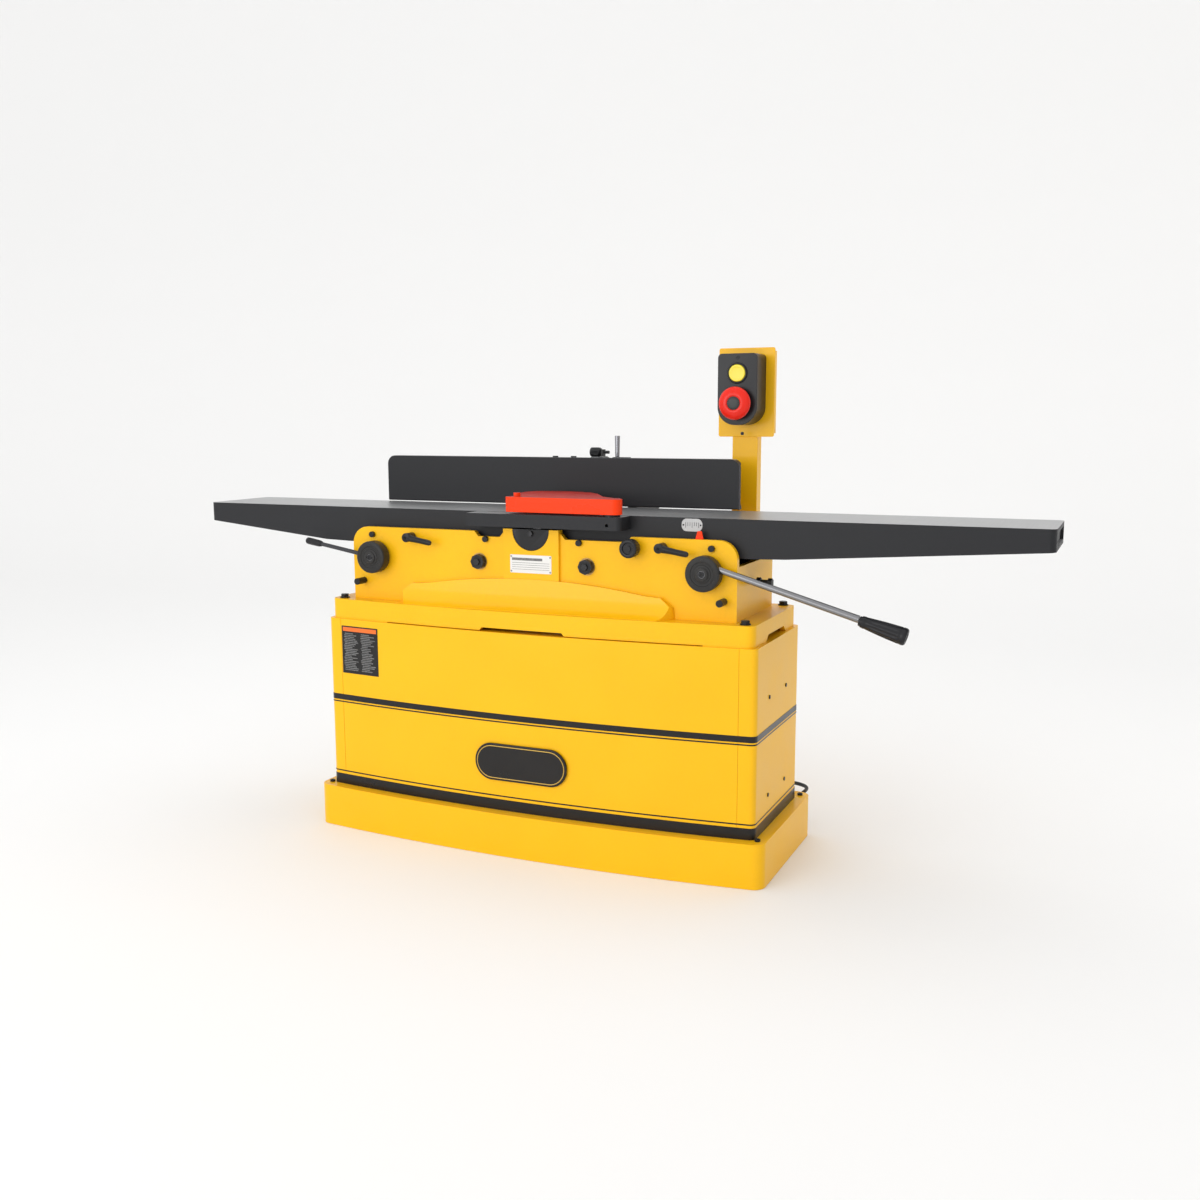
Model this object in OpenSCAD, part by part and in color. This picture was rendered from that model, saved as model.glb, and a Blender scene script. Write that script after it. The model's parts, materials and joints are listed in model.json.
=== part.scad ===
// Floor-standing parallelogram jointer with a helical cutterhead.
// +X runs towards the infeed end, +Y towards the back, +Z up.
// The origin is on the floor, under the middle of the cutterhead.

/* [Tables] */
// Height of the table tops above the floor
table_h = 792; // [785:1:800]
// Far end of the outfeed table, measured from the cutterhead's axis
outfeed_end = 955; // [900:5:1000]
// Far end of the infeed table, measured from the cutterhead's axis
infeed_end = 1128; // [1000:4:1200]
// Half of the throat between the two table lips
throat = 30; // [30:1:32]

/* [Cutterhead] */
// Radius of the circle that the insert edges cut
cut_r = 38.5; // [38:0.5:39]
// Number of spiral rows of inserts
insert_rows = 4; // [2:1:6]
// Number of inserts in one row
row_inserts = 11; // [6:1:12]

/* [Table lift] */
// Offset of each eccentric pin from its shaft
crank_e = 16; // [15:1:17]
// Distance of the outer shafts from the cutterhead's axis
outer_x = 423; // [418:1:425]
// Distance of the inner shafts from the cutterhead's axis
inner_x = 138.5; // [136:0.5:142]

/* [Fence] */
// Height of the fence face
fence_h = 117; // [112:1:120]
// Left end of the fence
fence_x0 = -549; // [-600:1:-500]
// Right end of the fence
fence_x1 = 416; // [380:1:430]

/* [Cabinet] */
// Half of the cabinet's width
cab_x = 549; // [547:1:552]
// Height of the plinth
plinth_h = 101; // [95:1:105]
// Half of the plinth's width
plinth_x = 576; // [575:1:590]

/* [Power cord] */
// Diameter of the cord
cord_d = 9; // [8:0.5:9]

/* [Hidden] */

yellow = [0.97, 0.72, 0.15];
charcoal = [0.22, 0.22, 0.23];
black = [0.08, 0.08, 0.09];
steel = [0.70, 0.71, 0.72];
red = [0.85, 0.15, 0.08];

// Bowed front: radius of the bow, and the outline's front and back at x = 0
bow_r = 4500;
cab_front = -206.5;
cab_back = 171;
cab_top = 522;
cab_corner_r = 15;
plinth_front = -234;
plinth_back = 212;
plinth_corner_r = 28;
skirt_x = 541;
skirt_front = -201;
skirt_back = 165;
skirt_corner_r = 20;
skirt_top = 570;
sheet = 3;

// Bed walls
wall_x = 492;
wall_front = -139;
wall_in = -126;
back_in = 118;
back_out = 131;
wall_top = 747;
panel_front = -146;

// Tables and cutterhead
table_w = 228;
half_w = table_w / 2;
head_z = table_h - cut_r;
plate_t = 18;
apron_t = 12;
lip_r = 44;
pin_r = 20;
shaft_r = 16;
run = 0.05;
shaft_z = 676;
bush_r = 20;

// Drive
head_pulley_r = 30;
motor_pulley_r = 60;
motor_x = 120;
motor_z = 300;
pulley_y = 139.5;
pulley_w = 20;
belt_t = 3.5;

// Fence: pivot pin, slide beam and their guide
fence_face = 106;
fence_gap = 2.5;
fence_z0 = table_h + fence_gap;
pivot_y = fence_face + 20;
pivot_z = fence_z0 + 66;
pivot_r = 9;
clamp_r = 50;
guide_y0 = 184;
guide_y1 = 330;

// Guard
guard_x = 204;
guard_y = -149;
guard_z0 = 797;
guard_z1 = 831;

// Switch
switch_x = 402;
box_front = 126;
plate_y = 199;
start_z = 1109;
stop_z = 1040;

// Lever hubs
hub_r = 39;
hub_y0 = -172;
hub_y1 = -144;
lever_y = -158;

// Corner points of an arc in a plane
function arc(c, r, a0, a1, n) =
  [for (i = [0 : n]) let(a = a0 + (a1 - a0) * i / n) [c[0] + r * cos(a), c[1] + r * sin(a)]];

// Depth that the bowed front falls back at a distance x from the middle
function bow(x) = x * x / (2 * bow_r);

// Outline in plan with a bowed front and rounded corners
function bowed(x, front, back, r) = let(u = x - r, yf = front + bow(u) + r) concat(
  [for (i = [-12 : 12]) [u * i / 12, front + bow(u * i / 12)]],
  arc([u, yf], r, -90, 0, 5),
  arc([u, back - r], r, 0, 90, 5),
  arc([-u, back - r], r, 90, 180, 5),
  arc([-u, yf], r, 180, 270, 5));

module prism(pts, z0, z1) translate([0, 0, z0]) linear_extrude(z1 - z0) polygon(pts);

// Straight-sided body from an outline in the XZ plane, between two values of Y
module xz(y0, y1) translate([0, y1, 0]) rotate([90, 0, 0]) linear_extrude(y1 - y0) children();

// Straight-sided body from an outline in the YZ plane, between two values of X
module yz(x0, x1) translate([x0, 0, 0]) rotate([90, 0, 90]) linear_extrude(x1 - x0) children();

module ycyl(x, z, r, y0, y1, fn = 64)
  translate([x, y1, z]) rotate([90, 0, 0]) cylinder(h = y1 - y0, r = r, $fn = fn);

module xcyl(y, z, r, x0, x1, fn = 64)
  translate([x0, y, z]) rotate([0, 90, 0]) cylinder(h = x1 - x0, r = r, $fn = fn);

module zcyl(x, y, r, z0, z1, fn = 64) translate([x, y, z0]) cylinder(h = z1 - z0, r = r, $fn = fn);

module box(x0, x1, y0, y1, z0, z1) translate([x0, y0, z0]) cube([x1 - x0, y1 - y0, z1 - z0]);

// Rectangle with round corners
module round_rect(w, h, r) union() {
  square([w, h - 2 * r], center = true);
  square([w - 2 * r, h], center = true);
  for (x = [-1, 1], y = [-1, 1]) translate([x * (w / 2 - r), y * (h / 2 - r)]) circle(r, $fn = 40);
}

/* Plinth and cabinet */

cab_pts = bowed(cab_x, cab_front, cab_back, cab_corner_r);
cab_in = bowed(cab_x - sheet, cab_front + sheet, cab_back - sheet, cab_corner_r - sheet);
level_y = [-172, 184];
seam_x = 511;
side_screw_y = [-74, 60];
side_screw_z = [176, 399];
port_z = 250;
port_r = 50;

// Hollow from below, with a rail across the middle that stands on the floor too
module plinth() color(yellow) difference() {
  prism(bowed(plinth_x, plinth_front, plinth_back, plinth_corner_r), 0, plinth_h);
  difference() {
    prism(bowed(plinth_x - 6, plinth_front + 6, plinth_back - 6, plinth_corner_r - 6), -1, plinth_h - 5);
    box(-20, 20, plinth_front, plinth_back, -2, plinth_h);
  }
  for (x = [-556, 556], y = level_y) zcyl(x, y, 5.2, 0, plinth_h + 1, 32);
}

module leveling_screws() color(black) for (x = [-556, 556], y = level_y) {
  zcyl(x, y, 12, 0, 8, 40);
  zcyl(x, y, 5, 8, plinth_h, 32);
  difference() {
    zcyl(x, y, 6.5, plinth_h, plinth_h + 5, 32);
    zcyl(x, y, 3.5, plinth_h + 2, plinth_h + 6, 6);
  }
}

// The strip of front sheet that the front panel takes the place of
module front_zone(half, depth) intersection() {
  difference() {
    prism(bowed(cab_x + 1, cab_front - 1, cab_back + 1, cab_corner_r + 1), plinth_h - 1, cab_top + 1);
    prism(bowed(cab_x - depth, cab_front + depth, cab_back - depth, cab_corner_r - depth),
      plinth_h - 2, cab_top + 2);
  }
  box(-half, half, cab_front - 20, -150, plinth_h - 2, cab_top + 2);
}

module cabinet_shell() color(yellow) difference() {
  prism(cab_pts, plinth_h, cab_top);
  prism(cab_in, plinth_h - 1, cab_top - sheet);
  box(-500, 500, -160, 166, cab_top - 5, cab_top + 1);
  front_zone(seam_x, sheet + 0.4);
  box(-100, 310, 160, 180, 160, 470);
  xcyl(0, port_z, port_r + 0.5, -560, -530, 96);
  for (y = side_screw_y, z = side_screw_z) xcyl(y, z, 3, -560, 560, 24);
}

module front_panel() color(yellow) intersection() {
  difference() {
    prism(cab_pts, plinth_h + 0.2, cab_top);
    prism(cab_in, plinth_h, cab_top + 1);
  }
  box(-seam_x + 0.5, seam_x - 0.5, cab_front - 10, -150, plinth_h, cab_top);
}

module rear_access_panel() color(yellow) difference() {
  xz(cab_back + 0.1, cab_back + 3) translate([105, 315]) round_rect(450, 350, 8);
  for (i = [0 : 7]) xz(cab_back - 1, cab_back + 5) translate([190, 210 + 14 * i]) round_rect(110, 5, 2.4);
}

// Panel screws on both ends and the back, and the bolts that hold the bed to the cabinet
module case_screws() color(black) {
  for (y = side_screw_y, z = side_screw_z) {
    xcyl(y, z, 4.5, cab_x, cab_x + 2, 32);
    xcyl(y, z, 2.9, cab_x - 6, cab_x, 24);
    xcyl(y, z, 4.5, -cab_x - 2, -cab_x, 32);
    xcyl(y, z, 2.9, -cab_x, -cab_x + 6, 24);
  }
  for (x = [-105, 315], z = [155, 475]) ycyl(x, z, 5, cab_back + 3, cab_back + 6, 32);
  for (x = [-bolt_x, bolt_x], y = bolt_ys) {
    zcyl(x, y, 12, skirt_top, skirt_top + 2.5, 40);
    zcyl(x, y, 10, skirt_top + 2.5, skirt_top + 9.5, 6);
    zcyl(x, y, 5.8, cab_top + 0.5, skirt_top, 32);
  }
}

// Thin skin lying on the cabinet, between two heights
module skin(z0, z1) difference() {
  prism(bowed(cab_x + 0.6, cab_front - 0.6, cab_back + 0.6, cab_corner_r + 0.6), z0, z1);
  prism(bowed(cab_x + 0.05, cab_front - 0.05, cab_back + 0.05, cab_corner_r + 0.05), z0 - 1, z1 + 1);
}

module trim_stripes() color(black) difference() {
  union() {
    skin(318, 332);
    skin(311.5, 314.5);
    skin(134, 137);
    skin(plinth_h + 0.5, plinth_h + 26.5);
  }
  box(-cab_x + 10, cab_x - 10, 150, 200, 0, 400);
}

module badge() color(black)
  xz(cab_front - 6, cab_front - 0.1) translate([0, 218]) round_rect(236, 88, 43);

module label_plates() {
  color(black) intersection() {
    skin(387, 505);
    box(-508, -396, cab_front - 10, -150, 380, 510);
  }
  color("white") xz(panel_front - 0.8, panel_front) translate([0, 676]) round_rect(106, 42, 2);
}

/* Bed */

shaft_xs = [-outer_x, -inner_x, inner_x, outer_x];
lock_x = 322;
lock_z = 727;
knob_x = 252;
knob_z = 724;
stop_x = 463;
stop_pin_z = 615;
screw_xs = [-434.5, -120, 120, 434.5];
screw_z = 729;
end_bolt_y = -40;
end_bolt_z = 648;
bolt_x = 515;
bolt_ys = [-150, 148];

// Wall outline: rounded upper corners, and dips under the ledge where low is set
module wall_2d(low) polygon(concat(
  arc([wall_x - 42, wall_top - 42], 42, 0, 90, 8),
  low ? [[246, wall_top], [236, 735], [84, 735], [74, wall_top]] : [],
  low ? [[-74, wall_top], [-84, 735], [-141, 735], [-151, wall_top]] : [],
  arc([-wall_x + 42, wall_top - 42], 42, 90, 180, 8),
  [[-wall_x, skirt_top - 6], [wall_x, skirt_top - 6]]));

// Raised arch across the front of the casting
hood_2d = concat([[352, skirt_top - 6], [346, 596], [320, 616]],
  [for (i = [5 : -1 : -5]) [i * 56, 641 - 0.9 * i * i]],
  [[-320, 616], [-346, 596], [-352, skirt_top - 6]]);

// Side view of the arch, which sweeps out to the skirt
hood_out = 46;
hood_side_2d = [[wall_in, 645], [wall_front - 8, 645], [wall_front - 11, 625], [wall_front - 14, 606],
  [wall_front - 19, 592], [wall_front - 26, 581], [wall_front - 35, 574], [wall_front - hood_out, 570.5],
  [wall_front - hood_out, skirt_top - 6], [wall_in, skirt_top - 6]];

// Plan of the arch, with its ends drawn in towards the front
hood_plan_2d = [[-352, wall_in], [-352, wall_front], [-346, wall_front - 12], [-322, wall_front - hood_out],
  [322, wall_front - hood_out], [346, wall_front - 12], [352, wall_front], [352, wall_in]];

module bed_casting() color(yellow) difference() {
  union() {
    difference() {
      prism(bowed(skirt_x, skirt_front, skirt_back, skirt_corner_r), cab_top, skirt_top);
      prism(bowed(skirt_x - 12, skirt_front + 12, skirt_back - 12, 10), cab_top - 1, skirt_top - 12);
      box(-76, 76, -108, 108, cab_top, skirt_top + 1);
      box(-14, 118, 136.2, 161, cab_top - 1, skirt_top + 1);
    }
    xz(wall_front, wall_in) wall_2d(true);
    xz(back_in, back_out) wall_2d(false);
    for (x = [-wall_x, wall_x - 14]) box(x, x + 14, wall_front, back_out, skirt_top - 6, 690);
    box(-71, 71, panel_front, wall_in, 634, 756);
    intersection() {
      xz(wall_front - hood_out, wall_in) polygon(hood_2d);
      yz(-360, 360) polygon(hood_side_2d);
      linear_extrude(700) polygon(hood_plan_2d);
    }
  }
  ycyl(0, head_z, 47, -160, wall_in + 1, 96);
  ycyl(0, head_z, 47, back_in - 1, back_out + 1, 96);
  for (x = shaft_xs) {
    ycyl(x, shaft_z, bush_r, -150, wall_in + 1);
    ycyl(x, shaft_z, bush_r, back_in - 1, back_out + 1);
  }
  for (x = [-lock_x, lock_x]) ycyl(x, lock_z, 6.05, -150, -120, 32);
  ycyl(knob_x, knob_z, 8.05, -150, -120, 40);
  for (x = [-stop_x, stop_x]) ycyl(x, stop_pin_z, 6, -150, -120, 32);
  for (x = screw_xs) ycyl(x, screw_z, 5, -150, -120, 32);
  xcyl(end_bolt_y, end_bolt_z, 6, -500, 500, 32);
  for (x = [-bolt_x, bolt_x], y = bolt_ys) zcyl(x, y, 6, cab_top - 1, skirt_top + 1, 32);
  // Hand notches in the lower edge, in front and at both ends
  xz(-230, -150) polygon([[-112, 520], [-102, 531], [102, 531], [112, 520]]);
  yz(-560, 560) polygon([[-80, 520], [-62, 536], [62, 536], [80, 520]]);
  box(-370, 430, -230, -150, cab_top - 1, cab_top + 2);
}

module bushing(x, y0, y1) difference() {
  ycyl(x, shaft_z, bush_r, y0, y1);
  ycyl(x, shaft_z, shaft_r + run, y0 - 1, y1 + 1);
}

module shaft_bushings() color([0.72, 0.55, 0.28]) for (x = shaft_xs) {
  bushing(x, wall_front, wall_in);
  bushing(x, back_in, back_out);
}

// Screw with a nut against the wall, pointing out from the end wall
module end_bolt(s) mirror([s < 0 ? 1 : 0, 0, 0]) {
  xcyl(end_bolt_y, end_bolt_z, 6, wall_x - 20, wall_x + 44, 32);
  xcyl(end_bolt_y, end_bolt_z, 11, wall_x + 14, wall_x + 24, 6);
  xcyl(end_bolt_y, end_bolt_z, 10, wall_x + 40, wall_x + 50, 6);
}

module adjusting_screws() color(black) {
  for (x = screw_xs) {
    ycyl(x, screw_z, 7, wall_front - 8, wall_front, 32);
    ycyl(x, screw_z, 5, wall_front, wall_in, 32);
  }
  for (x = [-stop_x, stop_x]) {
    ycyl(x, stop_pin_z, 8, wall_front - 33, wall_front, 32);
    ycyl(x, stop_pin_z, 6, wall_front, wall_in, 32);
  }
  end_bolt(1);
  end_bolt(-1);
}

module depth_pointer() color(red)
  xz(-132, -129) polygon([[394, wall_top + 0.1], [412, wall_top + 0.1], [408, wall_top + 18],
    [399, wall_top + 18]]);

/* Cutterhead and drive */

bearing_r = 23.5;
bearing_y0 = 99.5;
bearing_y1 = 113.5;
journal_r = 10;

// Housing on the side of s: a ring round the bearing, a neck and an outer flange
module bearing_housing(s, flange0, flange1) mirror([0, s > 0 ? 0 : 1, 0]) difference() {
  union() {
    ycyl(0, head_z, 31, 99.3, 114.2, 96);
    intersection() {
      union() {
        ycyl(0, head_z, 31, 114, flange0 + 1, 96);
        ycyl(0, head_z, 46, flange0, flange1, 96);
      }
      box(-60, 60, 90, 160, 690, 756);
    }
  }
  ycyl(0, head_z, bearing_r, 98, bearing_y1, 64);
  ycyl(0, head_z, journal_r + 2, 98, s > 0 ? 160 : 130, 48);
}

module bearing_housings() color(black) {
  ycyl(0, head_z - 7, 7, -151, -145, 6);
  bearing_housing(-1, 126, 146);
  bearing_housing(1, 118, 136);
}

module bearing(y0, y1) {
  difference() {
    ycyl(0, head_z, bearing_r, y0, y1);
    ycyl(0, head_z, 19.5, y0 - 1, y1 + 1);
  }
  difference() {
    ycyl(0, head_z, 19.5, y0 + 2, y1 - 2);
    ycyl(0, head_z, 14, y0 - 1, y1 + 1);
  }
  difference() {
    ycyl(0, head_z, 14, y0, y1);
    ycyl(0, head_z, journal_r + 0.04, y0 - 1, y1 + 1);
  }
}

module head_bearings() color(steel) {
  bearing(bearing_y0, bearing_y1);
  bearing(-bearing_y1, -bearing_y0);
}

head_half = 98.5;
body_r = cut_r - 1.5;
insert_w = 14;
row_pitch = (2 * head_half - insert_w) / row_inserts;

// Places its child at each insert's seat, along spiral rows
module at_inserts() for (row = [0 : insert_rows - 1], i = [0 : row_inserts - 1]) {
  y = -head_half + insert_w + row_pitch * (i + row / insert_rows * 0.6);
  translate([0, y, head_z]) rotate([0, 360 / insert_rows * row + 7 * i, 0]) children();
}

module cutterhead() color(steel) difference() {
  union() {
    ycyl(0, head_z, body_r, -head_half, head_half, 96);
    ycyl(0, head_z, journal_r, -bearing_y1, pulley_y + pulley_w + 2, 48);
  }
  at_inserts() translate([-3, -insert_w / 2, body_r - 5]) cube([9, insert_w, 10]);
}

module cutter_inserts() color([0.85, 0.86, 0.88])
  at_inserts() translate([-3, -insert_w / 2, body_r - 5]) cube([3, insert_w, 6.4]);

module pulley(x, z, r, bore) difference() {
  ycyl(x, z, r, pulley_y, pulley_y + pulley_w, 96);
  ycyl(x, z, bore, pulley_y - 1, pulley_y + pulley_w + 1, 48);
}

module head_pulley() color(charcoal) pulley(0, head_z, head_pulley_r, journal_r);

module motor_pulley() {
  color(charcoal) pulley(motor_x, motor_z, motor_pulley_r, 12);
  color(steel) ycyl(motor_x, motor_z, 12, 80, pulley_y + pulley_w + 3, 48);
}

// Region inside a belt run that lies a distance t outside both pulleys
module belt_2d(t) {
  a = atan2(motor_z - head_z, motor_x);
  b = acos((head_pulley_r - motor_pulley_r) / norm([motor_x, motor_z - head_z]));
  polygon(concat(
    arc([0, head_z], head_pulley_r + t, a + b, a - b + 360, 24),
    arc([motor_x, motor_z], motor_pulley_r + t, a - b, a + b, 32)));
}

module drive_belt() color(black) difference() {
  xz(pulley_y + 1, pulley_y + pulley_w - 1) belt_2d(belt_t);
  xz(pulley_y, pulley_y + pulley_w) belt_2d(0.1);
}

// Cover over the belt above the bed, open below
module guard_2d(t) polygon([[-46 + t, 790 - t], [46 - t, 790 - t], [118 - t, skirt_top - (t > 0 ? 1 : -0.2)],
  [-18 + t, skirt_top - (t > 0 ? 1 : -0.2)]]);

module belt_guard() color(black) difference() {
  xz(136.3, 165) guard_2d(0);
  xz(138.3, 163) guard_2d(2);
  ycyl(0, head_z, 14, 130, 139, 48);
}

module motor() color(charcoal) {
  difference() {
    union() {
      ycyl(motor_x, motor_z, 82, -96, 92, 96);
      ycyl(motor_x, motor_z, 86, -112, -92, 96);
      ycyl(motor_x, motor_z, 86, 88, 104, 96);
      box(motor_x - 60, motor_x + 60, -80, 80, 204, 240);
      box(motor_x - 45, motor_x + 45, -50, 50, motor_z + 60, motor_z + 104);
    }
    ycyl(motor_x, motor_z, 12.05, 78, 110, 48);
  }
}

module motor_shelf() color(charcoal) {
  box(motor_x - 90, motor_x + 90, -120, 110, 196, 204);
  for (x = [motor_x - 90, motor_x + 82]) box(x, x + 8, -120, 110, plinth_h, 196);
}

/* Chip path */

module chip_hopper() color(steel) difference() {
  box(-72, 72, -104, 104, 480, 700);
  box(-70, 70, -102, 102, 479, 701);
}

module duct_2d(t) polygon([
  [-72 + t, 480 + (t > 0 ? 1 : -0.2)], [72 - t, 480 + (t > 0 ? 1 : -0.2)], [72 - t, 440],
  [-180, 190 + t], [-545.5 + t, 190 + t], [-545.5 + t, 310 - t], [-225, 310 - t], [-72 + t, 445 + t]]);

module dust_duct() color(steel) difference() {
  xz(-104, 104) duct_2d(0);
  xz(-102, 102) duct_2d(2);
  xcyl(0, port_z, port_r - 2, -560, -530, 96);
}

module dust_port() color(black) difference() {
  union() {
    xcyl(0, port_z, port_r, -602, -546, 96);
    yz(-552, -cab_x - 0.1) translate([0, port_z]) round_rect(116, 116, 14);
  }
  xcyl(0, port_z, port_r - 2.5, -610, -540, 96);
}

/* Table lift: s is 1 on the infeed side and -1 on the outfeed side */

// Shaft that turns in the bed and carries a table on its offset middle
module eccentric_shaft(s, x, front) color(steel) {
  ycyl(s * x, shaft_z, shaft_r, front, wall_in + 2);
  ycyl(s * x, shaft_z, shaft_r, back_in - 2, back_out + 1);
  ycyl(s * (x - crank_e), shaft_z, pin_r, wall_in + 1, back_in - 1, 96);
}

// Hexagonal end cap with a screw, on a shaft that has no lever
module shaft_cap(s) color(black) {
  ycyl(s * inner_x, shaft_z, 17.5, wall_front - 13, wall_front - 1, 8);
  ycyl(s * inner_x, shaft_z, 8, wall_front - 17, wall_front - 13, 6);
}

module infeed_outer_shaft() eccentric_shaft(1, outer_x, hub_y0 + 2);
module outfeed_outer_shaft() eccentric_shaft(-1, outer_x, hub_y0 + 2);

module infeed_inner_shaft() {
  eccentric_shaft(1, inner_x, wall_front - 1);
  shaft_cap(1);
}

module outfeed_inner_shaft() {
  eccentric_shaft(-1, inner_x, wall_front - 1);
  shaft_cap(-1);
}

// Infeed lever: starts beside the shaft and slopes down to its grip
lever_a = -16.2;
lever_off = 19.4;
rod_len = 344;
grip_len = 101;

// Frame with X along the infeed lever, from the foot of the offset
module along_infeed_lever() translate([outer_x, lever_y, shaft_z]) rotate([0, -lever_a, 0])
  translate([0, 0, lever_off]) rotate([0, 90, 0]) children();

// Frame with X along the outfeed lever, which points out and slightly up
out_lever_a = 9.6;
out_rod_len = 152;
module along_outfeed_lever() translate([-outer_x, lever_y, shaft_z]) rotate([0, out_lever_a, 0])
  rotate([0, -90, 0]) children();

// Lever hub: a thick disc with a stepped face and a cap screw
module lever_hub(x) {
  difference() {
    ycyl(x, shaft_z, hub_r, hub_y0 + 2, hub_y1, 96);
    ycyl(x, shaft_z, shaft_r, hub_y0 + 1, hub_y1 + 1);
    children();
  }
  ycyl(x, shaft_z, hub_r - 3, hub_y0, hub_y0 + 2, 96);
  ycyl(x, shaft_z, 14.5, hub_y0 - 3, hub_y0, 48);
}

module infeed_lever_hub() color(charcoal) lever_hub(outer_x)
  along_infeed_lever() translate([0, 0, 20]) cylinder(h = 60, r = 7, $fn = 48);

module outfeed_lever_hub() color(charcoal) lever_hub(-outer_x)
  along_outfeed_lever() translate([0, 0, 19]) cylinder(h = 60, r = 5, $fn = 40);

module infeed_lever() color(steel) along_infeed_lever() {
  translate([0, 0, 20]) cylinder(h = 30, r = 7, $fn = 48);
  translate([0, 0, 50]) cylinder(h = rod_len - 50, r1 = 7, r2 = 8, $fn = 48);
}

module infeed_lever_grip() color(black) along_infeed_lever() translate([0, 0, rod_len])
  rotate_extrude($fn = 64) polygon([[0, 0], [10, 0], [12.5, 4], [16, 45], [18.5, 88], [18.5, 97],
    [16, grip_len], [0, grip_len]]);

module outfeed_lever() color(steel) along_outfeed_lever() translate([0, 0, 19])
  cylinder(h = out_rod_len - 19, r = 5, $fn = 40);

module outfeed_lever_grip() color(black) along_outfeed_lever() translate([0, 0, out_rod_len])
  rotate_extrude($fn = 48) polygon([[0, 0], [6.5, 0], [8, 5], [8.5, 38], [7, 45], [0, 47]]);

/* Tables */

knee_x = 551;
knee_z = table_h - 85;
tip_z = table_h - 46;

// Side view of a table that reaches from the throat to end
module table_2d(end) polygon([[throat, table_h], [end, table_h], [end, tip_z], [knee_x + 40, knee_z + 2],
  [knee_x - 30, knee_z], [92, knee_z], [58, table_h - 46], [throat, table_h - 12]]);

// Lug that hangs under a table and runs on an eccentric pin
module lug(x) {
  for (y0 = [-half_w + 11, half_w - 39]) difference() {
    xz(y0, y0 + 28) union() {
      translate([x, shaft_z]) circle(32, $fn = 64);
      translate([x - 32, shaft_z]) square([64, table_h - 6 - shaft_z]);
    }
    ycyl(x, shaft_z, pin_r + run, y0 - 1, y0 + 29, 96);
  }
}

// One table, its pockets between cross ribs cut from below
module jointer_table(end) {
  rib = 10;
  first = 176;
  cells = ceil((end - 14 - first) / 180);
  pitch = (end - 14 - first + rib) / cells;
  difference() {
    xz(-half_w, half_w) table_2d(end);
    ycyl(0, head_z, lip_r, -half_w - 1, half_w + 1, 128);
    box(84, first - rib, apron_t - half_w, half_w - apron_t, 600, table_h - plate_t);
    for (i = [0 : cells - 1]) box(first + pitch * i, first + pitch * (i + 1) - rib,
      apron_t - half_w, half_w - apron_t, 600, table_h - plate_t);
    // Shallow recess in the end face, and rounded end corners
    box(end - 6, end + 1, -96, 96, tip_z + 8, table_h - 10);
    for (k = [-1, 1]) difference() {
      box(end - 14, end + 1, k * (half_w - 6.5) - 7.5, k * (half_w - 6.5) + 7.5, 600, 900);
      zcyl(end - 14, k * (half_w - 14), 14, 599, 901, 48);
    }
  }
  lug(outer_x - crank_e);
  lug(inner_x - crank_e);
}

module infeed_table() color(charcoal) jointer_table(infeed_end);
module outfeed_table() color(charcoal) mirror([1, 0, 0]) jointer_table(outfeed_end);

ledge_top = table_h - 0.5;
ledge_bot = table_h - 30.5;
ledge_y = -169;
ledge_x = 233;
post_r = 8;
collar_r = 19;

module rabbet_ledge() color(charcoal) difference() {
  union() {
    box(-155, 30, ledge_y, -half_w - 1.2, ledge_bot, ledge_top);
    box(29, ledge_x - 12, ledge_y, -half_w, ledge_bot, ledge_top);
    box(ledge_x - 13, ledge_x, ledge_y + 12, -half_w, ledge_bot, ledge_top);
    zcyl(ledge_x - 12, ledge_y + 12, 12, ledge_bot, ledge_top, 48);
  }
  box(-82, 82, -153, -110, ledge_bot - 1, 778);
  zcyl(guard_x, guard_y, post_r + run, ledge_bot - 1, ledge_top + 1);
  zcyl(guard_x, guard_y, collar_r + 0.5, ledge_top - 4, ledge_top + 1, 64);
  ycyl(200, table_h - 19, 4, ledge_y - 1, ledge_y + 12, 32);
}

module scale_plate() color(steel)
  xz(-half_w - 1, -half_w) translate([380, table_h - 16]) round_rect(48, 28, 12);

/* Handles and knobs on the front */

// Ratchet handle: shaft in the bed wall, hub, and a cranked arm that points to +X
module ratchet_handle(x) color(black) {
  ycyl(x, lock_z, 6, wall_front - 4, wall_in + 2, 32);
  ycyl(x, lock_z, 11, wall_front - 32, wall_front - 1, 48);
  translate([x, 0, lock_z]) rotate([0, 10, 0]) xz(wall_front - 32, wall_front - 20) union() {
    translate([0, -5.5]) square([64, 11]);
    translate([64, 0]) circle(5.5, $fn = 32);
  }
}

module infeed_lock_handle() ratchet_handle(lock_x);
module outfeed_lock_handle() ratchet_handle(-lock_x);

// Plunger knob: pulled out to let the infeed table pass its normal stop
module depth_stop_knob() color(black) {
  ycyl(knob_x, knob_z, 8, wall_front - 4, wall_in, 48);
  ycyl(knob_x, knob_z, 13, wall_front - 10, wall_front - 1, 48);
  ycyl(knob_x, knob_z, 21, wall_front - 35, wall_front - 10, 64);
}

/* Guard */

module guard_post() color(steel) zcyl(guard_x, guard_y, post_r, ledge_bot, guard_z1 - 6);

// Spring collar under the guard: the fence turns it, and with it the guard, as it slides forward
module guard_collar() color(black) difference() {
  zcyl(guard_x, guard_y, collar_r, ledge_top - 3.7, guard_z0 - 0.3, 64);
  zcyl(guard_x, guard_y, post_r + run, ledge_top - 5, guard_z0 + 1);
}

// Plan of the guard: straight front edge, round hub end and a lobe over the cutterhead
guard_pts = concat(
  arc([214, -155], 17, -90, 60, 6),
  arc([204, -146], 22, 60, 100, 3),
  [[156, -88], [104, 0], [66, 44]],
  arc([-2, -20], 86, 50, 100, 6),
  arc([-36, 10], 56, 110, 190, 6),
  [[-84, -40], [-62, -90], [-46, -120]],
  arc([-40, -157], 15, 140, 250, 5));

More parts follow.
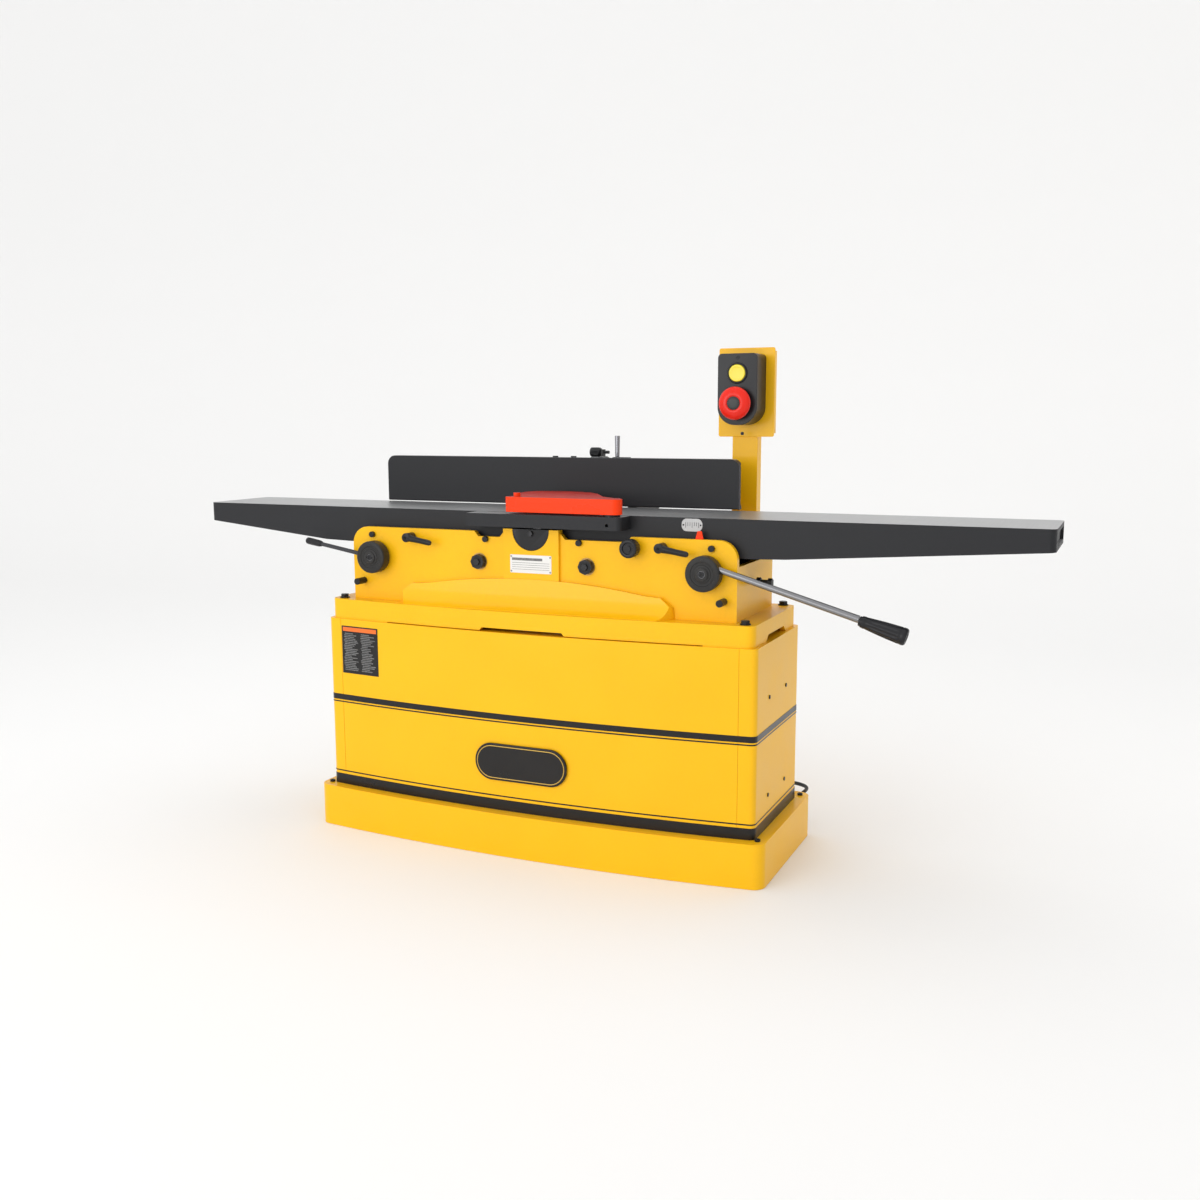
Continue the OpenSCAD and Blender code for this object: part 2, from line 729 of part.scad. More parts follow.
module guard() color(red) {
  difference() {
    union() {
      prism(guard_pts, 814, guard_z1);
      intersection() {
        prism(guard_pts, guard_z0, 815);
        box(-56, 260, -180, -130, guard_z0, 815);
      }
      zcyl(-30, -152, 8, guard_z1 - 1, guard_z1 + 9, 32);
    }
    // Hollow underside, with a solid boss left round the post
    difference() {
      translate([60, -60, 0]) scale([0.91, 0.91, 1]) translate([-60, 60, 0])
        prism(guard_pts, guard_z0 - 1, guard_z1 - 5);
      zcyl(guard_x, guard_y, 17, guard_z0 - 2, guard_z1);
    }
    zcyl(guard_x, guard_y, post_r + run, guard_z0 - 1, guard_z1 - 5.9);
  }
}

/* Fence */

module fence_base() color(charcoal) {
  difference() {
    union() {
      for (x = [-131, 105]) yz(x, x + 26) polygon([[back_out + 0.1, 690], [back_out + 0.1, 744],
        [176, 784], [guide_y0, 792], [guide_y0, 800], [guide_y1, 800], [guide_y1, 776],
        [guide_y0 + 10, 740]]);
      box(-131, 131, guide_y0, guide_y1, 788, 806);
      for (s = [-1, 1]) {
        box(s > 0 ? 38.3 : -50, s > 0 ? 50 : -38.3, guide_y0, guide_y1, 805, 836);
        box(s > 0 ? 26.3 : -50, s > 0 ? 50 : -26.3, guide_y0, guide_y1, 824.3, 836);
      }
    }
    xcyl(250, 815, 5.05, 30, 60, 32);
  }
}

carriage_back = 430;
ear_x = 62;

module fence_carriage() color(charcoal) {
  box(-38, 38, 184, carriage_back, 806.3, 824);
  box(-26, 26, 184, carriage_back, 823, 856);
  box(-46, 46, 158, 179, 838, 874);
  box(-26, 26, 178, 185, 838, 856);
  for (x = [-46, 32]) yz(x, x + 14) union() {
    translate([pivot_y, pivot_z]) circle(pivot_r, $fn = 64);
    translate([pivot_y, pivot_z - pivot_r]) square([33, 2 * pivot_r]);
  }
  xcyl(pivot_y, pivot_z, 5, -50, 50, 64);
  // Arm that reaches round the quadrant to the clamp stud
  box(-26, ear_x + 10, 200, 212, 840, 874);
  box(ear_x, ear_x + 10, pivot_y + clamp_r - 9, 201, pivot_z - 12, pivot_z + 12);
  xcyl(pivot_y + clamp_r, pivot_z, 6, 48, ear_x + 23, 48);
  xcyl(pivot_y + clamp_r, pivot_z, 9, 48, 51.6, 48);
  difference() {
    box(24, 31, 198, 212, 873, 929);
    xcyl(205, 922, 4.05, 20, 40, 32);
  }
}

rib_xs = [-500, -400, -300, -200, -100, 150, 250, 350];

// Cross-section of the fence, in Y and Z
module fence_2d() polygon([[fence_face, fence_z0 + 2.5], [fence_face + 2.5, fence_z0],
  [fence_face + 20, fence_z0], [fence_face + 20, fence_z0 + 7], [fence_face + 13, fence_z0 + 12],
  [fence_face + 13, fence_z0 + fence_h - 16],
  [fence_face + 25, fence_z0 + fence_h - 9], [fence_face + 25, fence_z0 + fence_h - 1],
  [fence_face + 24, fence_z0 + fence_h], [fence_face + 1.5, fence_z0 + fence_h],
  [fence_face, fence_z0 + fence_h - 1.5]]);

module fence() color(charcoal) {
  difference() {
    union() {
      intersection() {
        yz(fence_x0, fence_x1) fence_2d();
        xz(90, 150) translate([(fence_x0 + fence_x1) / 2, fence_z0 + fence_h / 2 - 10])
          round_rect(fence_x1 - fence_x0, fence_h + 20, 22);
      }
      for (x = rib_xs) box(x, x + 8, fence_face + 12, fence_face + 19, fence_z0 + 5, fence_z0 + fence_h - 8);
      xcyl(pivot_y, pivot_z, pivot_r, -31.6, 31.6, 64);
      box(-31.6, 31.6, fence_face + 12, pivot_y, pivot_z - pivot_r, pivot_z + pivot_r);
    }
    xcyl(pivot_y, pivot_z, 5 + run, -40, 40, 64);
    for (x = [-46.6, 31.6]) xcyl(pivot_y, pivot_z, pivot_r + 0.7, x, x + 15, 64);
    for (x = [-51, 46]) xcyl(pivot_y, pivot_z, 5.6, x, x + 5, 64);
  }
  // Slotted quadrant that the tilt lock clamps
  yz(52, 60) difference() {
    intersection() {
      translate([pivot_y, pivot_z]) circle(clamp_r + 12, $fn = 96);
      translate([fence_face + 12, pivot_z - 61]) square([90, 114]);
    }
    intersection() {
      difference() {
        translate([pivot_y, pivot_z]) circle(clamp_r + 6.3, $fn = 96);
        translate([pivot_y, pivot_z]) circle(clamp_r - 6.3, $fn = 96);
      }
      translate([pivot_y + 28, pivot_z - 60]) square([90, 120]);
    }
    translate([pivot_y + 8, pivot_z]) circle(20, $fn = 48);
  }
  // Cover plates and screw heads on the top edge
  for (x = [32, 90])
    box(x, x + 44, fence_face + 14, fence_face + 25, fence_z0 + fence_h - 1, fence_z0 + fence_h + 1.5);
  for (x = [-66, -16]) zcyl(x, fence_face + 17, 7, fence_z0 + fence_h - 1, fence_z0 + fence_h + 3, 32);
}

module tilt_lock_handle() color(steel) {
  y = pivot_y + clamp_r;
  difference() {
    xcyl(y, pivot_z, 11, ear_x + 10.3, ear_x + 24, 48);
    xcyl(y, pivot_z, 6 + run, ear_x + 9, ear_x + 25, 48);
  }
  translate([ear_x + 17, y, pivot_z + 9]) cylinder(h = 94, r1 = 4.5, r2 = 6.5, $fn = 40);
}

module slide_lock_handle() color(black) {
  xcyl(250, 815, 5, 39, 50.4, 32);
  xcyl(250, 815, 8, 50.4, 68, 40);
  translate([60, 250, 815]) rotate([-60, 0, 0]) cylinder(h = 78, r1 = 5, r2 = 7, $fn = 40);
}

module tilt_stop_knob() color(black) {
  xcyl(205, 922, 4, 21, 36, 32);
  xcyl(205, 922, 12, -6, 22, 40);
}

/* Switch */

module switch_post() color(yellow) {
  difference() {
    box(switch_x - 34, switch_x + 28, 202, 234, 420, 1150);
    box(switch_x - 31, switch_x + 25, 205, 231, 419, 1147);
  }
  xz(plate_y, 202) translate([switch_x, 1066]) round_rect(137, 208, 5);
  for (x = [switch_x - 68.5, switch_x + 66]) box(x, x + 2.5, plate_y, plate_y + 16, 970, 1162);
  box(switch_x - 34, switch_x + 28, cab_back, 202, 430, 500);
}

module box_2d() union() {
  translate([0, 38]) round_rect(95, 88, 10);
  translate([0, -34]) round_rect(95, 96, 42);
  translate([-47.5, -30]) square([95, 40]);
}

module switch_box() color(black) difference() {
  xz(box_front, plate_y - 0.1) translate([switch_x, 1072]) box_2d();
  xz(box_front + 24, plate_y) translate([switch_x, 1072]) square([80, 100], center = true);
  ycyl(switch_x, start_z, 20, box_front - 1, box_front + 14, 64);
  ycyl(switch_x, stop_z, 12.2, box_front - 1, box_front + 20, 48);
}

module start_button() color([0.95, 0.85, 0.1])
  ycyl(switch_x, start_z, 19.6, box_front - 5, box_front + 8, 64);

module stop_button() color(red) {
  ycyl(switch_x, stop_z, 12, box_front - 14, box_front + 10, 48);
  translate([switch_x, box_front - 14, stop_z]) rotate([90, 0, 0])
    rotate_extrude($fn = 96) polygon([[0, 0], [36, 0], [38, 3], [38, 7], [34, 12], [24, 15], [0, 16]]);
}

/* Power cord: it leaves the back near the right corner and runs along the floor to its coil */

coil_x = 300;
coil_y = 371;
coil_r = 50;
relief_x = 512;
relief_z = 118;
relief_end = 207;
route = [[512, 207, 118], [513, 216, 118], [518, 228, 116], [530, 240, 112], [542, 252, 106],
  [549, 268, 97], [546, 286, 85], [533, 300, 70], [514, 307, 55], [494, 308, 41], [474, 306, 28],
  [454, 305, 17], [434, 306, 9], [412, 309, 5], [388, 312, 4.6], [362, 312, 4.6], [330, 312, 4.6]];
tail = [[320, 430, 4.6], [332, 430, 5.5], [344, 430, 8], [356, 430, 10]];

// Smooth curve through a list of points: a ring centre at each step
function curve(p, n) = [for (i = [0 : len(p) - 2], k = [0 : n - 1])
  let(a = p[max(i - 1, 0)], b = p[i], c = p[i + 1], d = p[min(i + 2, len(p) - 1)], t = k / n)
  0.5 * (2 * b + (c - a) * t + (2 * a - 5 * b + 4 * c - d) * t * t + (3 * b - a - 3 * c + d) * t * t * t)];

function unit(v) = v / norm(v);

// One polyhedron: rings of eight points on a smooth curve, and two end faces
module tube(p, r, n) {
  c = concat(curve(p, n), [p[len(p) - 1]]);
  m = len(c);
  sides = 8;
  pts = [for (i = [0 : m - 1])
    let(t = unit(c[min(i + 1, m - 1)] - c[max(i - 1, 0)]), u = unit(cross(t, [0, 0, 1])), v = cross(u, t))
    for (k = [0 : sides - 1]) c[i] + r * (cos(360 * k / sides) * u + sin(360 * k / sides) * v)];
  faces = concat(
    [[for (k = [0 : sides - 1]) k]],
    [for (i = [0 : m - 2], k = [0 : sides - 1]) let(j = (k + 1) % sides)
      [i * sides + k, (i + 1) * sides + k, (i + 1) * sides + j, i * sides + j]],
    [[for (k = [sides - 1 : -1 : 0]) (m - 1) * sides + k]]);
  polyhedron(pts, faces);
}

module strain_relief() color(black) translate([relief_x, cab_back, relief_z]) rotate([-90, 0, 0])
  rotate_extrude($fn = 48) polygon([[0, 0], [14, 0], [14, 4], [10, 6], [6, relief_end - cab_back],
    [0, relief_end - cab_back]]);

module power_cord() color(black) {
  tube(route, cord_d / 2, 2);
  tube(tail, cord_d / 2, 2);
}

module cord_coil() color(black) translate([coil_x, coil_y, 0]) rotate_extrude($fn = 64)
  translate([coil_r - 1.5 * cord_d, 0]) square([3 * cord_d, 2 * cord_d]);

module plug() color(black) {
  translate([356, 430, 10]) rotate([0, 90, 0]) rotate_extrude($fn = 48)
    polygon([[0, 0], [5.5, 0], [8, 14], [9.9, 18], [0, 18]]);
  box(373, 402, 413, 447, 0.2, 24);
  for (y = [421, 437]) box(401, 420, y - 0.8, y + 0.8, 8, 15);
  xcyl(430, 18, 2.4, 401, 422, 24);
}

plinth();
leveling_screws();
cabinet_shell();
front_panel();
rear_access_panel();
case_screws();
trim_stripes();
badge();
label_plates();
bed_casting();
shaft_bushings();
adjusting_screws();
depth_pointer();
bearing_housings();
head_bearings();
cutterhead();
cutter_inserts();
head_pulley();
drive_belt();
belt_guard();
motor();
motor_shelf();
motor_pulley();
chip_hopper();
dust_duct();
dust_port();
infeed_outer_shaft();
infeed_lever_hub();
infeed_lever();
infeed_lever_grip();
infeed_inner_shaft();
infeed_table();
rabbet_ledge();
scale_plate();
infeed_lock_handle();
depth_stop_knob();
outfeed_outer_shaft();
outfeed_lever_hub();
outfeed_lever();
outfeed_lever_grip();
outfeed_inner_shaft();
outfeed_table();
outfeed_lock_handle();
guard_post();
guard_collar();
guard();
fence_base();
fence_carriage();
fence();
tilt_lock_handle();
slide_lock_handle();
tilt_stop_knob();
switch_post();
switch_box();
start_button();
stop_button();
strain_relief();
power_cord();
cord_coil();
plug();
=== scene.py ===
"""Looks for a floor-standing jointer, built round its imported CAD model. Metres, +Z up."""
import json
import math
import random
import bmesh
import bpy
from mathutils import Matrix, Vector


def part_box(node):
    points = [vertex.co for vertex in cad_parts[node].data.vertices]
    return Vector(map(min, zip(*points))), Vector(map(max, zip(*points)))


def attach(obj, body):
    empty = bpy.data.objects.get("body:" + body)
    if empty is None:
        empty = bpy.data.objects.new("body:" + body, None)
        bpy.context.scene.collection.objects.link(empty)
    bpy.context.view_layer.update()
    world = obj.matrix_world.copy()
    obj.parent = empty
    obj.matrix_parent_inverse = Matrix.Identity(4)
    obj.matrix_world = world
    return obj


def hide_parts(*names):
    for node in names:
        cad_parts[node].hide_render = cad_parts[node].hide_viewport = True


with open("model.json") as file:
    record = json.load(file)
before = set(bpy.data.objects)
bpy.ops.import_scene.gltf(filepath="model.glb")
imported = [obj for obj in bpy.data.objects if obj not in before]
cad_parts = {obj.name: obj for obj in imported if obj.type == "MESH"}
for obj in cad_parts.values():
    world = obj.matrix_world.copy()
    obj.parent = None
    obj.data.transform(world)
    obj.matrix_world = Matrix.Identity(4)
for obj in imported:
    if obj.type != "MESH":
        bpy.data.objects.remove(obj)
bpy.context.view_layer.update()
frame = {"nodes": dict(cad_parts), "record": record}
record = frame["record"]
BODY_OF = {n: b for b, nodes in record["behaviour"]["bodies"].items() for n in nodes}
SLOT_OF = {s["node"]: s["material_slot"] for s in record["subparts"]}
MM = 0.001

# Camera

CAMERA_AT = (1.2773, -2.6243, 1.0118)
CAMERA_TURN = 24.004
CAMERA_DOWN = 8.567
CAMERA_ROLL = -0.19
CAMERA_LENS = 36.63


def make_camera():
    data = bpy.data.cameras.new("camera")
    data.lens = CAMERA_LENS
    data.sensor_width = 36
    data.dof.use_dof = False
    data.clip_end = 50
    cam = bpy.data.objects.new("camera", data)
    bpy.context.collection.objects.link(cam)
    turn = Matrix.Rotation(math.radians(CAMERA_TURN), 4, "Z")
    tip = Matrix.Rotation(math.radians(90 - CAMERA_DOWN), 4, "X")
    roll = Matrix.Rotation(math.radians(CAMERA_ROLL), 4, "Z")
    cam.matrix_world = Matrix.Translation(CAMERA_AT) @ turn @ tip @ roll
    bpy.context.scene.camera = cam


make_camera()

# Cord

CORD_D = 9 * MM
COIL_AT = (300, 371)
LAYER_Z = (4.6, 13.6)
ROUTE = [(512, 207, 118), (513, 216, 118), (518, 228, 116), (530, 240, 112), (542, 252, 106),
         (549, 268, 97), (546, 286, 85), (533, 300, 70), (514, 307, 55), (494, 308, 41),
         (474, 306, 28), (454, 305, 17), (434, 306, 9), (412, 309, 5), (388, 312, 4.6),
         (362, 312, 4.6), (330, 311.5, 4.6), (304, 311, 4.6)]
TAIL = [(304, 431, 13.6), (318, 430.8, 13.2), (332, 430.5, 12), (344, 430, 10.6), (356, 430, 10)]


def curve_points(points, steps):
    """Smooth curve through the points, as the CAD's own curve function draws it."""
    out = []
    last = len(points) - 1
    for i in range(last):
        a, b = Vector(points[max(i - 1, 0)]), Vector(points[i])
        c, d = Vector(points[i + 1]), Vector(points[min(i + 2, last)])
        for k in range(steps):
            t = k / steps
            out.append(0.5 * (2 * b + (c - a) * t + (2 * a - 5 * b + 4 * c - d) * t * t
                              + (3 * b - a - 3 * c + d) * t ** 3))
    return out + [Vector(points[last])]


def coil_points():
    """Turns of the coil: in towards the middle on the floor, and out again on top of them."""
    turns, per_turn, start = 5.5, 24, -90
    inner, outer, pitch = 41.0, 60.0, 9.2
    out = []
    count = int(turns * per_turn)
    for i in range(count + 1):
        t = turns * i / count
        along = t if t < turns / 2 else turns - t
        radius = max(inner, outer - pitch * along)
        lift = min(max((t - turns / 2 + 0.25) / 0.5, 0.0), 1.0)
        lift = lift * lift * (3 - 2 * lift)
        z = LAYER_Z[0] + (LAYER_Z[1] - LAYER_Z[0]) * lift
        angle = math.radians(start - 360 * t)
        out.append(Vector((COIL_AT[0] + radius * math.cos(angle), COIL_AT[1] + radius * math.sin(angle), z)))
    return out


# Materials


def new_material(name):
    mat = bpy.data.materials.new(name)
    mat.use_nodes = True
    tree = mat.node_tree
    return mat, tree, tree.nodes["Principled BSDF"]


def node(tree, kind, inputs=(), **settings):
    n = tree.nodes.new(kind)
    for key, value in settings.items():
        setattr(n, key, value)
    for key, value in dict(inputs).items():
        if isinstance(value, bpy.types.NodeSocket):
            tree.links.new(value, n.inputs[key])
        else:
            n.inputs[key].default_value = value
    return n


def noise(tree, scale, detail=4.0, stretch=(1, 1, 1)):
    """Noise in the object's own metres; stretch makes it streaky along an axis."""
    where = node(tree, "ShaderNodeTexCoord")
    sized = node(tree, "ShaderNodeMapping", {"Vector": where.outputs["Object"], "Scale": stretch})
    return node(tree, "ShaderNodeTexNoise", {"Vector": sized.outputs["Vector"], "Scale": scale,
                                             "Detail": detail}).outputs["Fac"]


def spread(tree, value, low, high, from_low=0.3, from_high=0.7):
    return node(tree, "ShaderNodeMapRange", {"Value": value, "From Min": from_low, "From Max": from_high,
                                             "To Min": low, "To Max": high}).outputs["Result"]


def tint(tree, fac, dark, light):
    mix = node(tree, "ShaderNodeMix", {"Factor": fac}, data_type="RGBA")
    mix.inputs["A"].default_value = (*dark, 1)
    mix.inputs["B"].default_value = (*light, 1)
    return mix.outputs["Result"]


def shade(colour, factor):
    return tuple(min(1.0, c * factor) for c in colour)


def surface(name, colour, rough=0.4, metallic=0.0, grain=600.0, bump=0.1, depth=0.0002, coat=0.0,
            vary=0.06, rough_vary=0.06, stretch=(1, 1, 1), patch=6.0, edge=None, shine=0.5):
    """Finish with a fine grain in its relief, cloudy colour and uneven gloss, and optional bright edges."""
    mat, tree, bsdf = new_material(name)
    cloud = noise(tree, patch, 5.0)
    fine = noise(tree, grain, 3.0, stretch)
    fac = node(tree, "ShaderNodeMath", {0: spread(tree, cloud, 0, 0.6), 1: spread(tree, fine, 0, 0.4)},
               operation="ADD").outputs[0]
    result = tint(tree, fac, shade(colour, 1 - vary), shade(colour, 1 + vary))
    if edge:
        worn = node(tree, "ShaderNodeNewGeometry").outputs["Pointiness"]
        mask = node(tree, "ShaderNodeMath", {0: spread(tree, worn, 0, 1, 0.53, 0.62), 1: fine},
                    operation="MULTIPLY").outputs[0]
        mix = node(tree, "ShaderNodeMix", {"Factor": mask, "A": result}, data_type="RGBA")
        mix.inputs["B"].default_value = (*edge, 1)
        result = mix.outputs["Result"]
    tree.links.new(result, bsdf.inputs["Base Color"])
    tree.links.new(spread(tree, cloud, rough - rough_vary, rough + rough_vary), bsdf.inputs["Roughness"])
    relief = node(tree, "ShaderNodeBump", {"Height": fine, "Strength": bump, "Distance": depth})
    tree.links.new(relief.outputs["Normal"], bsdf.inputs["Normal"])
    bsdf.inputs["Metallic"].default_value = metallic
    bsdf.inputs["Coat Weight"].default_value = coat
    bsdf.inputs["Coat Roughness"].default_value = 0.12
    bsdf.inputs["Specular IOR Level"].default_value = shine
    return mat


def ground_iron(name, sides, top, top_rough=0.34):
    """Dark sides, and a ground top face with fine lines across the feed direction; the top's light grey is
    partly ground metal and partly painted sheen.
    """
    mat, tree, bsdf = new_material(name)
    cloud = noise(tree, 4.0, 6.0)
    lines = noise(tree, 300.0, 2.0, (4.0, 0.03, 1))
    fine = noise(tree, 900.0, 3.0)
    up = node(tree, "ShaderNodeSeparateXYZ", {0: node(tree, "ShaderNodeTexCoord").outputs["Normal"]})
    mask = spread(tree, up.outputs["Z"], 0, 1, 0.85, 0.95)
    dark = tint(tree, spread(tree, fine, 0, 1), shade(sides, 0.9), shade(sides, 1.1))
    streaks = node(tree, "ShaderNodeMath", {0: cloud, 1: lines}, operation="ADD").outputs[0]
    # top colour: ground metal, lifted lighter by painted sheen
    bright = tint(tree, spread(tree, streaks, 0, 1, 0.75, 1.25), shade(top, 0.88), shade(top, 1.1))
    both = node(tree, "ShaderNodeMix", {"Factor": mask, "A": dark, "B": bright}, data_type="RGBA")
    tree.links.new(both.outputs["Result"], bsdf.inputs["Base Color"])
    gloss = node(tree, "ShaderNodeMix", {"Factor": mask, "A": 0.5, "B": spread(tree, cloud, top_rough - 0.05,
                                                                              top_rough + 0.07)})
    tree.links.new(gloss.outputs["Result"], bsdf.inputs["Roughness"])
    tree.links.new(node(tree, "ShaderNodeMath", {0: mask, 1: 0.6}, operation="MULTIPLY").outputs[0],
                   bsdf.inputs["Metallic"])
    height = node(tree, "ShaderNodeMix", {"Factor": mask, "A": fine, "B": lines})
    relief = node(tree, "ShaderNodeBump", {"Height": height.outputs["Result"], "Strength": 0.12,
                                           "Distance": 0.0002})
    tree.links.new(relief.outputs["Normal"], bsdf.inputs["Normal"])
    bsdf.inputs["Specular IOR Level"].default_value = 0.28
    return mat


YELLOW = (0.93, 0.50, 0.004)
BLACK = (0.012, 0.012, 0.013)

FINISH = {
    "yellow_paint": surface("yellow_paint", YELLOW, 0.34, grain=260, bump=0.06, coat=0.15, vary=0.035,
                            shine=0.2),
    "black_hardware": surface("black_hardware", BLACK, 0.36, grain=900, bump=0.12, vary=0.2,
                              edge=(0.08, 0.08, 0.09), shine=0.25),
    "black_trim": surface("black_trim", (0.006, 0.005, 0.005), 0.3, grain=500, bump=0.04, coat=0.15, vary=0.1,
                          shine=0.3),
    "plates": surface("plates", (0.008, 0.007, 0.007), 0.3, grain=700, bump=0.05, coat=0.15, vary=0.15,
                      shine=0.3),
    "bronze": surface("bronze", (0.42, 0.25, 0.09), 0.4, 1.0, grain=1200, bump=0.1),
    "red_paint": surface("red_paint", (0.92, 0.045, 0.001), 0.3, grain=500, bump=0.05, coat=0.1, vary=0.06,
                         shine=0.15),
    "bright_steel": surface("bright_steel", (0.24, 0.24, 0.25), 0.3, 1.0, grain=700, bump=0.08,
                            stretch=(1, 1, 6)),
    "carbide": surface("carbide", (0.6, 0.6, 0.62), 0.22, 1.0, grain=1500, bump=0.05),
    "iron": surface("iron", (0.022, 0.021, 0.02), 0.42, grain=420, bump=0.25, depth=0.0004, vary=0.2,
                    edge=(0.10, 0.10, 0.10), shine=0.25),
    # table tops: light grey that is partly ground metal and partly painted sheen
    "ground_iron": ground_iron("ground_iron", (0.017, 0.0175, 0.02), (0.36, 0.365, 0.37)),
    "belt_rubber": surface("belt_rubber", (0.01, 0.01, 0.01), 0.7, grain=700, bump=0.3, vary=0.3),
    "dark_sheet": surface("dark_sheet", (0.02, 0.02, 0.022), 0.45, grain=700, bump=0.08, vary=0.1),
    "motor_paint": surface("motor_paint", (0.025, 0.026, 0.03), 0.4, grain=420, bump=0.2, vary=0.15),
    "galvanised": surface("galvanised", (0.5, 0.52, 0.53), 0.4, 0.9, grain=90, bump=0.05, vary=0.25,
                          patch=30),
    "black_plastic": surface("black_plastic", (0.011, 0.011, 0.013), 0.33, grain=1100, bump=0.15, vary=0.2,
                             shine=0.3),
    "handle_metal": surface("handle_metal", (0.3, 0.3, 0.32), 0.22, 1.0, grain=900, bump=0.05),
    "start_plastic": surface("start_plastic", (0.84, 0.68, 0.02), 0.3, grain=900, bump=0.03, coat=0.2,
                             vary=0.03),
    "stop_plastic": surface("stop_plastic", (0.80, 0.018, 0.006), 0.28, grain=900, bump=0.03, coat=0.15,
                            vary=0.04, shine=0.2),
    "cord_rubber": surface("cord_rubber", (0.01, 0.01, 0.01), 0.5, grain=1500, bump=0.2, vary=0.2),
}
CAST_YELLOW = surface("cast_yellow", YELLOW, 0.38, grain=120, bump=0.16, depth=0.0006, coat=0.15, vary=0.05,
                      shine=0.2)
for name, part in frame["nodes"].items():
    part.data.materials.clear()
    part.data.materials.append(FINISH[SLOT_OF[name]])

# Pieces


def add_piece(name, mesh, body, slot, material=None):
    obj = bpy.data.objects.new(name, mesh)
    bpy.context.collection.objects.link(obj)
    if not mesh.materials:
        mesh.materials.append(material or FINISH[slot])
    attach(obj, body)
    return obj


def mesh_from(name, verts, faces, smooth=True):
    mesh = bpy.data.meshes.new(name)
    mesh.from_pydata([tuple(v) for v in verts], [], faces)
    mesh.update()
    bm = bmesh.new()
    bm.from_mesh(mesh)
    bmesh.ops.recalc_face_normals(bm, faces=bm.faces)
    bm.to_mesh(mesh)
    bm.free()
    for p in mesh.polygons:
        p.use_smooth = smooth
    return mesh


def soften(name, width, material=None, segments=3, angle=32, other=None, where=None):
    """Stands in for a CAD node with the same shape and rounded edges. Faces picked by where get other."""
    mesh = frame["nodes"][name].data.copy()
    bm = bmesh.new()
    bm.from_mesh(mesh)
    bmesh.ops.remove_doubles(bm, verts=bm.verts, dist=2e-6)
    bmesh.ops.dissolve_limit(bm, angle_limit=math.radians(0.6), verts=bm.verts, edges=bm.edges)
    bm.to_mesh(mesh)
    bm.free()
    if "custom_normal" in mesh.attributes:
        mesh.attributes.remove(mesh.attributes["custom_normal"])
    for p in mesh.polygons:
        p.use_smooth = True
    mesh.materials.clear()
    mesh.materials.append(material or FINISH[SLOT_OF[name]])
    if other:
        mesh.materials.append(other)
        for p in mesh.polygons:
            p.material_index = int(where(p))
    obj = add_piece(name + "_skin", mesh, BODY_OF[name], SLOT_OF[name])
    bevel = obj.modifiers.new("round", "BEVEL")
    bevel.width = width
    bevel.segments = segments
    bevel.limit_method = "ANGLE"
    bevel.angle_limit = math.radians(angle)
    bevel.harden_normals = False
    weight = obj.modifiers.new("flatten", "WEIGHTED_NORMAL")
    weight.keep_sharp = True
    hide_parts(name)
    return obj


for name, width, material in [
        ("plinth", 4 * MM, None), ("cabinet_shell", 1.2 * MM, None), ("front_panel", 0.8 * MM, None),
        ("rear_access_panel", 0.8 * MM, None), ("bed_casting", 4 * MM, CAST_YELLOW),
        ("badge", 2 * MM, None), ("infeed_table", 1 * MM, None), ("outfeed_table", 1 * MM, None),
        ("rabbet_ledge", 1.5 * MM, None), ("fence", 1 * MM, None),
        ("fence_carriage", 1 * MM, None), ("fence_base", 1.5 * MM, None), ("switch_box", 4 * MM, None),
        ("switch_post", 0.8 * MM, None), ("case_screws", 0.6 * MM, None),
        ("adjusting_screws", 0.7 * MM, None), ("leveling_screws", 0.5 * MM, None),
        ("bearing_housings", 1 * MM, None),
        ("dust_port", 0.8 * MM, None), ("plug", 1.2 * MM, None),
        ("belt_guard", 1 * MM, None), ("motor", 2 * MM, None), ("guard_collar", 0.6 * MM, None)]:
    soften(name, width, material)

# Geometry that details are put together from: (points, faces)


def turned(profile, at, axis, steps=64, flute=None):
    """Body of revolution: profile is (distance along the axis, radius), flute trims the radius.

    A profile that ends where it starts makes a ring, with a hole and no end faces.
    """
    turn = Vector((0, 0, 1)).rotation_difference(Vector(axis)).to_matrix()
    ring = profile[0] == profile[-1]
    profile = profile[:-1] if ring else profile
    count = len(profile)
    points, faces = [], []
    for h, r in profile:
        for k in range(steps):
            a = math.tau * k / steps
            rr = r * (1 - flute(h, a)) if flute else r
            points.append(Vector(at) + turn @ Vector((rr * math.cos(a), rr * math.sin(a), h)))
    for i in range(count if ring else count - 1):
        above = (i + 1) % count
        for k in range(steps):
            j = (k + 1) % steps
            faces.append((i * steps + k, i * steps + j, above * steps + j, above * steps + k))
    if not ring:
        faces.append(tuple(range(steps - 1, -1, -1)))
        faces.append(tuple((count - 1) * steps + k for k in range(steps)))
    return points, faces


def swept(path, sizes, side, steps=24):
    """Tube with an elliptical section along a path: sizes are (half width along side, other half)."""
    points, faces = [], []
    for i, p in enumerate(path):
        ahead = Vector(path[min(i + 1, len(path) - 1)]) - Vector(path[max(i - 1, 0)])
        u = Vector(side) - ahead * (Vector(side).dot(ahead) / ahead.length_squared)
        u.normalize()
        v = ahead.normalized().cross(u)
        for k in range(steps):
            a = math.tau * k / steps
            points.append(Vector(p) + u * (sizes[i][0] * math.cos(a)) + v * (sizes[i][1] * math.sin(a)))
    for i in range(len(path) - 1):
        for k in range(steps):
            j = (k + 1) % steps
            faces.append((i * steps + k, i * steps + j, (i + 1) * steps + j, (i + 1) * steps + k))
    faces.append(tuple(range(steps - 1, -1, -1)))
    faces.append(tuple((len(path) - 1) * steps + k for k in range(steps)))
    return points, faces


